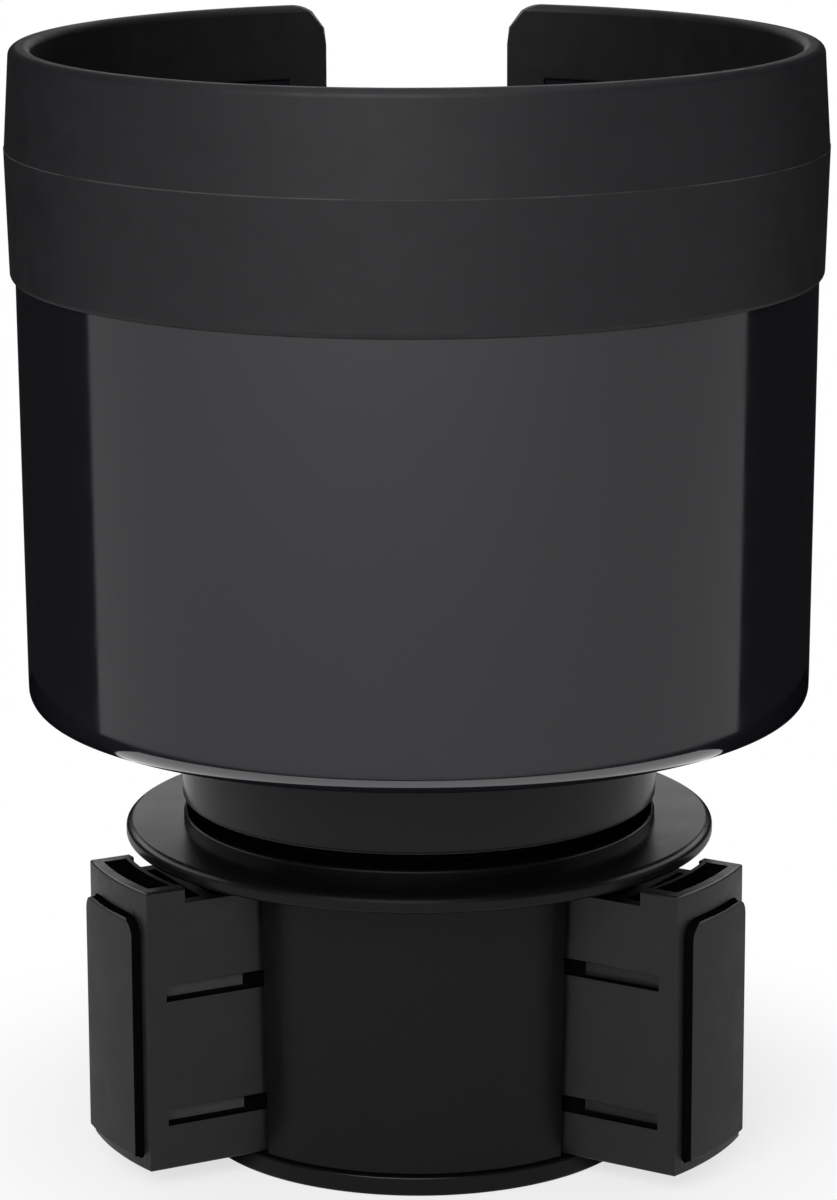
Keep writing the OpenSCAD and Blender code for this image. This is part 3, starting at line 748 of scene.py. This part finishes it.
@dataclass(frozen=True)
class RimBand:
    """Soft band over the rim with its lining, and its borders beside the slot."""

    foot: float = 0.1141
    seam: float = 0.1306
    lining_foot: float = 0.1334
    top: float = 0.1433
    bulge: float = 0.0009
    lining: float = 0.0005
    border: float = 0.0004
    border_width: float = 0.005
    cap: float = 0.0009
    low_round: float = 0.0008
    top_round: float = 0.0011
    rebate: float = 0.0007
    wall_end: float = 0.0009
    end_break: float = 0.0005
    seam_lip: float = 0.00007
    lining_lip: float = 0.0003
    beside_edge: float = 0.0001
    beside_slot: Row = (0.0018, 0.003)
    slot_angle: float = 1.2
    flare_reach: float = 0.014
    columns: int = 230
    piece: Piece = Piece(
        "rim_band_moulding", Body.CUP, BAND_RUBBER, ("rim_band",), (LINING_RUBBER,)
    )

    def outside(self) -> list[Row]:
        """Returns the outer face from the lower edge over the rim."""
        wall = WALL.at(Skin.OUTER, WALL.top)
        low, wide, high = wall + self.bulge / 2, wall + self.bulge, wall + self.bulge / 9
        inner = WALL.at(Skin.INNER, WALL.top) - self.lining
        foot = arc((low - self.low_round, self.foot + self.low_round), self.low_round, -90, 0, 6)
        lip = (wide - self.seam_lip, self.seam + self.seam_lip)
        lower = straight(foot[-1], (wide, self.seam), 6)[1:]
        upper = straight(lip, (high, self.top - self.top_round), 5)[:-1]
        rim = arc((high - self.top_round, self.top - self.top_round), self.top_round, 0, 90)
        cap = arc((inner + self.cap, self.top - self.cap), self.cap, 90, 180)
        return foot + lower + upper + rim + cap

    def section(self, bordered: bool, solid: bool) -> list[Row]:
        """Cross-section of the band, all the way round.

        Args:
            bordered: whether the border beside the slot is part of it.
            solid: whether the rubber fills the place of the wall, as at its ends.

        Returns:
            The points as radius and height, always the same number.
        """
        wall_in = [(WALL.at(Skin.INNER, z), z) for z in levels(self.lining_foot, WALL.top, 3)]
        outside = self.outside()
        lined = WALL.at(Skin.INNER, self.lining_foot) - self.lining
        lining = straight(outside[-1], (lined, self.lining_foot + self.lining_lip), 4)[1:]
        step = (WALL.at(Skin.INNER, self.lining_foot) - self.border, self.lining_foot)
        down = levels(self.lining_foot, self.foot, 6)[1:]
        if bordered:
            face = [(WALL.at(Skin.INNER, z) - self.border, z) for z in down]
            back = [(WALL.at(Skin.INNER, z), z) for z in reversed(down)]
        else:
            face = back = [wall_in[0]] * len(down)
        up = levels(self.foot, WALL.top, 6)
        cover = [(WALL.at(Skin.OUTER, z) - self.rebate, z) for z in reversed(up)]
        hidden = back + wall_in + cover
        if solid:
            inner, outer = (WALL.at(Skin.INNER, self.foot), self.foot), cover[-1]
            hidden = straight(inner, outer, len(hidden) - 1)
        return outside + lining + [step] + face + hidden

    def column_list(self) -> list[tuple[float, bool, bool]]:
        """Returns the columns from one side of the slot round to the other."""
        near = (
            (0.0, True, True), (self.wall_end - self.beside_edge, True, True),
            (self.wall_end, True, False), *((x, True, False) for x in self.beside_slot),
            (self.border_width - self.beside_edge, True, False),
            (self.border_width, False, False),
        )
        side = [(math.asin((SLOT.half + x) / SLOT_RADIUS), b, s) for x, b, s in near]
        start = side[-1][0]
        front = levels(start, math.tau - start, self.columns)[1:-1]
        other = [(math.tau - a, b, s) for a, b, s in reversed(side)]
        turns = side + [(a, False, False) for a in front] + other
        return [(wrapped(a), b, s) for a, b, s in turns]

    def build(self) -> None:
        """Builds the band."""
        columns = self.column_list()
        sections = {(b, s): self.section(b, s) for b in (True, False) for s in (True, False)}
        count = len(sections[(True, True)])

        def place(i: int, j: int) -> Vector:
            """Returns the position at a column and a row; the last row closes the ring."""
            angle, bordered, solid = columns[i]
            r, z = sections[(bordered, solid)][j % count]
            shift = 0.0
            if abs(angle) < self.slot_angle:
                beside = abs(SLOT_RADIUS * math.sin(angle)) - SLOT.half
                shift = (SLOT.edge(z) - SLOT.half) * (1 - ease(beside, 0.0, self.flare_reach))
            return on_wall(angle, r, z, shift)

        bm = bmesh.new()
        lattice(bm, len(columns) - 1, count, place)
        bmesh.ops.remove_doubles(bm, verts=bm.verts, dist=WELD_DISTANCE)
        rims = [e for e in bm.edges if e.is_boundary]
        for side in (-1, 1):
            edges = [e for e in rims if e.verts[0].co.x * side > 0]
            bmesh.ops.triangle_fill(bm, edges=edges, use_beauty=True)
        bmesh.ops.recalc_face_normals(bm, faces=bm.faces)
        low = self.foot + TOUCH_DISTANCE
        ends = [e for e in rims if e.is_valid and all(v.co.z > low for v in e.verts)]
        break_edges(bm, ends, self.end_break)
        inner = WALL.at(Skin.INNER, WALL.top)
        for face in bm.faces:
            middle = face.calc_center_median()
            if middle.xy.length < inner and middle.z < self.top - self.cap:
                face.material_index = 1
        self.piece.build(bm, [e for e in bm.edges if all(self.at_seam(v) for v in e.verts)])

    def at_seam(self, vert: BMVert) -> bool:
        """Tells whether a corner lies on the lip along the seam."""
        height = vert.co.z - self.seam
        on_lip = -ROUNDING_ERROR < height < self.seam_lip + ROUNDING_ERROR
        return on_lip and vert.co.xy.length > WALL.radius


@dataclass(frozen=True)
class FloorMat:
    """Rubber mat with three rings pressed into it."""

    radius: float = 0.04672
    foot: float = 0.0612
    thickness: float = 0.0016
    ring_width: float = 0.0012
    ring_depth: float = 0.0004
    ring_round: float = 0.00015
    foot_round: float = 0.0002
    top_round: float = 0.0005
    rings: int = 3
    piece: Piece = Piece("floor_mat_moulding", Body.CUP, MAT_RUBBER, ("floor_mat",))

    def build(self) -> None:
        """Builds the mat."""
        top = self.foot + self.thickness
        profile = [
            (0.0, self.foot, 0.0), (self.radius, self.foot, self.foot_round),
            (self.radius, top, self.top_round),
        ]
        for i in range(self.rings, 0, -1):
            middle = self.radius * i / (self.rings + 1)
            outer, inner = middle + self.ring_width / 2, middle - self.ring_width / 2
            low = top - self.ring_depth
            corners = ((outer, top), (outer, low), (inner, low), (inner, top))
            profile += [(r, z, self.ring_round) for r, z in corners]
        self.piece.build(turned(profile + [(0.0, top, 0.0)]))


# Neck and base


@dataclass(frozen=True)
class MouldedCopy:
    """A moulded piece that keeps its CAD shape, with its sharp edges broken.

    Attributes:
        piece: the piece and the node that it is copied from.
        edge_break: width of the broken edges.
        segments: faces across a broken edge.
        sharp: angle from which an edge counts as sharp.
        inside: edges that touch this radius about Z stay as they are.
        heights: heights between which edges are broken.
        joined: angle in degrees below which neighbouring faces are joined, if any.
        crisp: whether the shallow edges round level faces stay crisp.
    """

    piece: Piece
    edge_break: float = 0.0
    segments: int = 2
    sharp: float = math.radians(40)
    inside: float = 0.0
    heights: Row = (-1.0, 1.0)
    joined: float = 0.5
    crisp: bool = True

    def copy(self) -> BMesh:
        """Returns the CAD mesh, welded and with its even neighbours joined."""
        bm = bmesh.new()
        bm.from_mesh(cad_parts[self.piece.nodes[0]].data)
        bmesh.ops.remove_doubles(bm, verts=bm.verts, dist=WELD_DISTANCE)
        if self.joined:
            bmesh.ops.dissolve_limit(
                bm, angle_limit=math.radians(self.joined), use_dissolve_boundaries=False,
                verts=bm.verts, edges=bm.edges, delimit=set(),
            )
        return bm

    def shape(self) -> BMesh:
        """Returns the copy with its edges broken."""
        bm = self.copy()
        low, high = self.heights
        edges = [
            e for e in sharp_edges(bm, self.sharp)
            if all(v.co.xy.length >= self.inside and low < v.co.z < high for v in e.verts)
        ]
        break_edges(bm, edges, self.edge_break, self.segments)
        return bm

    def finish_at(self, middle: Vector, normal: Vector) -> int:
        """Returns the material index of a face, by its middle and its normal."""
        return 0

    def build(self) -> None:
        """Builds the piece."""
        bm = self.shape()
        bm.normal_update()
        for face in bm.faces:
            face.material_index = self.finish_at(face.calc_center_median(), face.normal)
        self.piece.build(bm, level_rims(bm) if self.crisp else ())


@dataclass(frozen=True)
class ShadedCopy(MouldedCopy):
    """Moulded piece with painted shade between two heights, in the gap above the deck."""

    # Heights between which the faces take painted shade.
    dark: Row = (0.0, 0.0)

    def finish_at(self, middle: Vector, normal: Vector) -> int:
        """Returns 1 for a face between the two heights and 0 elsewhere."""
        return int(self.dark[0] < middle.z < self.dark[1])


@dataclass(frozen=True)
class Pad(MouldedCopy):
    """Rubber pad whose side walls, deep in their gap, have painted shade."""

    facing: float = 0.5

    def finish_at(self, middle: Vector, normal: Vector) -> int:
        """Returns 0 for a face that looks outwards and 1 elsewhere."""
        return int(normal.xy.dot(middle.xy.normalized()) < self.facing)


@dataclass(frozen=True)
class Leg(MouldedCopy):
    """Hollow sliding leg, whose grooves have a bevel at their upper edges."""

    azimuth: float = 0.0
    half_width: float = 0.0086
    groove_tops: tuple[float, ...] = (0.0108, 0.0273, 0.0292)
    bevel: float = 0.0003
    groove_back: float = 0.0073
    # Height below a groove's top of its painted light; below that the groove's back takes painted
    # shade.
    groove_foot: float = 0.0018
    # From here in towards the cylinder, the grooves take painted shade.
    dark_end: float = 0.0295
    reach: float = 0.0442
    foot: float = 0.0029
    tops: Row = (0.0379, 0.0399)
    step: float = 0.038
    skin: float = 0.00026
    near: float = 2e-5
    back_near: float = 5e-5
    level: float = 0.1
    facing: float = 0.9

    @property
    def turn(self) -> Matrix:
        """Rotation that lays the leg along X."""
        return Matrix.Rotation(-math.radians(self.azimuth), 3, "Z")

    def on_groove_top(self, vert: BMVert) -> bool:
        """Tells whether a corner lies on a side of the leg at a groove's upper edge."""
        across = abs((self.turn @ vert.co).y)
        below = min(abs(vert.co.z - top) for top in self.groove_tops)
        return abs(across - self.half_width) < self.near and below < self.near

    def shape(self) -> BMesh:
        """Returns the copy with its edges broken and its faces cut where the grooves' painted
        light and painted shade meet.
        """
        bm = self.copy()
        sharp = sharp_edges(bm, self.sharp)
        tops = [e for e in sharp if all(self.on_groove_top(v) for v in e.verts)]
        break_edges(bm, tops, self.bevel)
        break_edges(bm, sharp_edges(bm, self.sharp), self.edge_break, self.segments)
        along = self.turn.inverted() @ Vector((1.0, 0.0, 0.0))
        up = Vector((0.0, 0.0, 1.0))
        cuts = [(along * self.dark_end, along)]
        cuts += [(up * (top - self.groove_foot), up) for top in self.groove_tops]
        for place, normal in cuts:
            bmesh.ops.bisect_plane(
                bm, geom=bm.verts[:] + bm.edges[:] + bm.faces[:], dist=1e-7,
                plane_co=place, plane_no=normal,
            )
        return bm

    def finish_at(self, middle: Vector, normal: Vector) -> int:
        """Picks the finish of a face.

        Args:
            middle: middle of the face.
            normal: its normal.

        Returns:
            2, painted light, on the upper part of a groove's back, 1, painted shade, elsewhere
            inside a groove, a pocket or the pad's recess, and 0 outside.
        """
        middle, normal = self.turn @ middle, self.turn @ normal
        drops = [top - middle.z for top in self.groove_tops]
        on_back = abs(abs(middle.y) - self.groove_back) < self.back_near
        on_back = on_back and abs(normal.y) > self.facing and middle.x > self.dark_end
        if on_back and any(0 < drop < self.groove_foot for drop in drops):
            return 2
        top = self.tops[1] if middle.x > self.step - TOUCH_DISTANCE else self.tops[0]
        depth = min(
            self.half_width - abs(middle.y), self.reach - middle.xy.length,
            top - middle.z, middle.z - self.foot,
        )
        on_bevel = abs(normal.y) > self.level and abs(normal.z) > self.level
        return int(depth > self.skin and not on_bevel)


@dataclass(frozen=True)
class Base:
    """Neck, cylinder with its disc, bottom plate, legs and their pads."""

    # Neck and housing take painted shade in the gap between the hub and the deck.
    neck: ShadedCopy = ShadedCopy(
        Piece("neck_moulding", Body.CUP, NECK_SATIN, ("neck",), (PAINTED_SHADE_BLACK,), "satin_black"),
        joined=0.0, crisp=False, dark=(0.0, 0.0456),
    )
    housing: ShadedCopy = ShadedCopy(
        Piece("base_housing_moulding", Body.BASE, SATIN_BLACK, ("base_housing",), (PAINTED_SHADE_BLACK,)),
        edge_break=0.00025, inside=0.0282, heights=(0.0027, 0.0395), joined=0.03,
        dark=(0.04359, 0.05),
    )
    plate: MouldedCopy = MouldedCopy(
        Piece("bottom_plate_moulding", Body.BASE, SATIN_BLACK, ("bottom_plate",))
    )
    # Each leg's last finish goes on the upper part of its grooves' backs; the left leg's is
    # painted light.
    legs: tuple[tuple[str, Body, float, Finish], ...] = (
        ("left", Body.LEG_LEFT, 208.0, GROOVE_PAINTED_LIGHT),
        ("right", Body.LEG_RIGHT, 328.0, LEG_BLACK),
        ("back", Body.LEG_BACK, 88.0, LEG_BLACK),
    )

    def build(self) -> None:
        """Builds every piece of the base."""
        for copy in (self.neck, self.housing, self.plate):
            copy.build()
        for side, body, azimuth, groove in self.legs:
            leg = Piece(
                f"leg_{side}_moulding", body, LEG_BLACK, (f"leg_{side}",), (PAINTED_SHADE_BLACK, groove)
            )
            Leg(leg, edge_break=0.00022, azimuth=azimuth).build()
            pad = Piece(f"pad_{side}_moulding", body, PAD_RUBBER, (f"pad_{side}",), (PAINTED_SHADE_BLACK,))
            Pad(pad, edge_break=0.0003, crisp=False).build()


@dataclass(frozen=True)
class InnerParts:
    """Ring, cam plate, washer, pins and screws: CAD meshes that keep their shape."""

    finishes: tuple[tuple[Finish, tuple[str, ...]], ...] = (
        (SCREW_STEEL, ("bottom_screws", "cam_washer", "cam_screw", "cup_screws")),
        (GLIDE_BLACK, ("friction_ring",)), (ACETAL, ("cam_plate",)),
        (PIN_STEEL, ("pin_left", "pin_right", "pin_back")),
    )

    def dress(self) -> None:
        """Gives each node its finish."""
        for finish, nodes in self.finishes:
            for node in nodes:
                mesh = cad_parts[node].data
                mesh.materials.clear()
                mesh.materials.append(finish.material())
                LOG.info("%s in %s", node, finish.name)


# Studio


@dataclass(frozen=True)
class Panel:
    """A soft light: where it stands, what it looks at, its size and its power."""

    name: str
    place: Triple
    target: Triple
    size: Row
    watts: float

    def build(self) -> None:
        """Adds the light."""
        data = bpy.data.lights.new(self.name, "AREA")
        data.shape = "RECTANGLE"
        data.size, data.size_y = self.size
        data.energy = self.watts
        lamp = add_object(self.name, data)
        lamp.location = self.place
        away = Vector(self.place) - Vector(self.target)
        lamp.rotation_euler = away.to_track_quat("Z", "Y").to_euler()


@dataclass(frozen=True)
class Studio:
    """Camera, lights, floor and the dark screens that black edges reflect."""

    lens: float = 134.757
    camera_place: Triple = (0.0, -0.56736, 0.20385)
    pitch: float = 76.823
    roll: float = -0.19
    floor_radius: float = 3.0
    floor_tone: float = 0.88
    floor_fade: Row = (0.03, 0.09)
    floor_nearest: float = 0.7
    surround: float = 0.36
    room: float = 0.12
    ceiling: float = 1.2
    screen_tone: float = 0.012
    screen_radius: float = 0.2
    screen_foot: float = 0.012
    screen_top: float = 0.45
    screen_span: Row = (4.4, 72.0)
    card_height: float = 0.0535
    card_inner: Row = (0.045, 0.04)
    card_near: Row = (0.0525, 0.0445)
    card_far: Row = (0.066, 0.066)
    card_outer: Row = (0.071, 0.071)
    card_half_span: float = 56.0
    card_end: float = 115.0
    card_strength: float = 2.0
    softbox: Panel = Panel("softbox_front", (-0.4, -1.7, 1.1), (0, -0.1, 0.06), (1.6, 1.0), 34.0)

    def camera(self) -> None:
        """Adds the camera at the photograph's angle."""
        data = bpy.data.cameras.new("camera")
        data.lens = self.lens
        data.sensor_width = 36.0
        data.clip_start = 0.01
        camera = add_object("camera", data)
        tilt = Matrix.Rotation(math.radians(self.pitch), 4, "X")
        lean = Matrix.Rotation(math.radians(self.roll), 4, "Z")
        camera.matrix_world = Matrix.Translation(self.camera_place) @ tilt @ lean
        bpy.context.scene.camera = camera

    def world(self) -> None:
        """Makes the surround white to the camera and even to diffuse light.

        Gloss sees a white wall behind the object and a dim room elsewhere.
        """
        world = bpy.data.worlds.new("surround")
        bpy.context.scene.world = world
        graph = NodeGraph(world)
        axes = graph.axes("Generated")
        behind = graph.ramp(axes["Y"], (0.05, 0.5))
        low = graph.ramp(axes["Z"], (0.25, 0.8), (1.0, 0.1))
        bright = graph.math("MULTIPLY", behind, low)
        wall = graph.ramp(bright, (0.0, 1.0), (self.room, 1.0), smooth=False)
        above = graph.ramp(axes["Z"], (0.75, 0.95), (0.0, self.ceiling))
        seen = graph.math("SUBTRACT", graph.math("ADD", wall, above), self.surround)
        path = graph.add("ShaderNodeLightPath").outputs
        gloss = graph.math("MULTIPLY", path["Is Glossy Ray"], seen)
        plain = graph.math("MAXIMUM", path["Is Camera Ray"], path["Is Transmission Ray"])
        extra = graph.math("MULTIPLY", plain, 1.0 - self.surround)
        strength = graph.math("ADD", graph.math("ADD", gloss, extra), self.surround)
        background = graph.add("ShaderNodeBackground", Color=(1.0, 1.0, 1.0, 1.0))
        graph.link(strength, background.inputs["Strength"])
        graph.show(background.outputs["Background"], "ShaderNodeOutputWorld")

    def floor_material(self) -> Material:
        """Returns the pale floor, which turns to plain white away from the object."""
        material, graph = new_material("studio_floor")
        matte = graph.add("ShaderNodeBsdfDiffuse", Color=(*[self.floor_tone] * 3, 1.0))
        white = graph.add("ShaderNodeEmission", Strength=1.0)
        length = graph.add("ShaderNodeVectorMath")
        length.operation = "LENGTH"
        graph.link(graph.place(), length.inputs[0])
        far = graph.ramp(length.outputs["Value"], self.floor_fade, (self.floor_nearest, 1.0))
        path = graph.add("ShaderNodeLightPath")
        mix = graph.add("ShaderNodeMixShader")
        graph.link(graph.math("MULTIPLY", far, path.outputs["Is Camera Ray"]), mix.inputs[0])
        graph.link(matte.outputs["BSDF"], mix.inputs[1])
        graph.link(white.outputs["Emission"], mix.inputs[2])
        graph.show(mix.outputs["Shader"])
        return material

    def floor(self) -> None:
        """Adds the floor."""
        bm = bmesh.new()
        bmesh.ops.create_circle(bm, cap_ends=True, radius=self.floor_radius, segments=96)
        add_mesh("studio_floor", bm, self.floor_material())

    def sheet(
        self, name: str, material: Material, place: Callable[[float, float], Vector]
    ) -> None:
        """Adds a bent sheet that is seen only in reflections.

        Args:
            name: name of the sheet.
            material: its material.
            place: gives the position at a share of the length and one of the width.
        """
        bm = bmesh.new()
        lattice(bm, SHEET_STEPS, 1, lambda i, j: place(i / SHEET_STEPS, float(j)))
        sheet = add_mesh(name, bm, material)
        sheet.visible_camera = sheet.visible_shadow = sheet.visible_diffuse = False

    def dark_material(self) -> Material:
        """Returns the material of the dark screens."""
        material, graph = new_material("studio_dark")
        dark = graph.add("ShaderNodeBsdfDiffuse", Color=(*[self.screen_tone] * 3, 1.0))
        graph.show(dark.outputs["BSDF"])
        return material

    def card_material(self) -> Material:
        """Returns the material of the card, bright on its face and black on its back."""
        material, graph = new_material("studio_card")
        side = graph.add("ShaderNodeNewGeometry")
        front = graph.math("SUBTRACT", 1.0, side.outputs["Backfacing"])
        light = graph.add("ShaderNodeEmission")
        graph.link(graph.math("MULTIPLY", front, self.card_strength), light.inputs["Strength"])
        graph.show(light.outputs["Emission"])
        return material

    def upright(self, side: int, u: float, v: float) -> Vector:
        """Returns the point of a side's screen at a share round and a share up."""
        low, high = self.screen_span
        turn = math.radians(low + (high - low) * u)
        height = self.screen_foot + (self.screen_top - self.screen_foot) * v
        across = side * self.screen_radius * math.cos(turn)
        return Vector((across, self.screen_radius * math.sin(turn), height))

    def flat(self, span: Row, low: Row, high: Row, u: float, v: float) -> Vector:
        """Finds a point of a part of the card's ring.

        Args:
            span: angles from the front at the part's ends.
            low: inner radius at the front and at the bright part's ends.
            high: outer radius there.
            u: share of the way round.
            v: share of the way outwards.

        Returns:
            The position.
        """
        turn = span[0] + (span[1] - span[0]) * u
        share = min(abs(turn) / self.card_half_span, 1.0) ** 2
        inner, outer = (front + (end - front) * share for front, end in (low, high))
        radius = inner + (outer - inner) * v
        across, ahead = math.sin(math.radians(turn)), math.cos(math.radians(turn))
        return Vector((radius * across, -radius * ahead, self.card_height))

    def screens(self) -> None:
        """Adds dark upright screens behind both sides and a bright card under the cup's edge.

        The card is a flat ring with dark edges. Its face is up at the front, where the
        cup's lower edge mirrors it, and down at the sides, where the disc mirrors it.
        """
        dark, bright = self.dark_material(), self.card_material()
        self.sheet("studio_screen_left", dark, partial(self.upright, -1))
        self.sheet("studio_screen_right", dark, partial(self.upright, 1))
        half, end = self.card_half_span, self.card_end
        inner, near, far, outer = self.card_inner, self.card_near, self.card_far, self.card_outer
        for name, material, span, low, high in (
            ("card_front", bright, (half, -half), near, far),
            ("card_left", bright, (-end, -half), near, outer),
            ("card_right", bright, (half, end), near, outer),
            ("edge_far", dark, (-half, half), far, outer),
            ("edge_near", dark, (-half, half), inner, near),
        ):
            self.sheet(f"studio_{name}", material, partial(self.flat, span, low, high))

    def build(self) -> None:
        """Builds the studio."""
        self.camera()
        self.world()
        self.floor()
        self.screens()
        self.softbox.build()
        bpy.context.scene.view_settings.view_transform = "Standard"


def main() -> None:
    """Builds the pieces in order and reports them."""
    logging.basicConfig(level=logging.INFO, format="%(name)s: %(message)s")
    Studio().build()
    CupShell().build()
    RimBand().build()
    FloorMat().build()
    Base().build()
    InnerParts().dress()


if __name__ == "__main__":
    main()
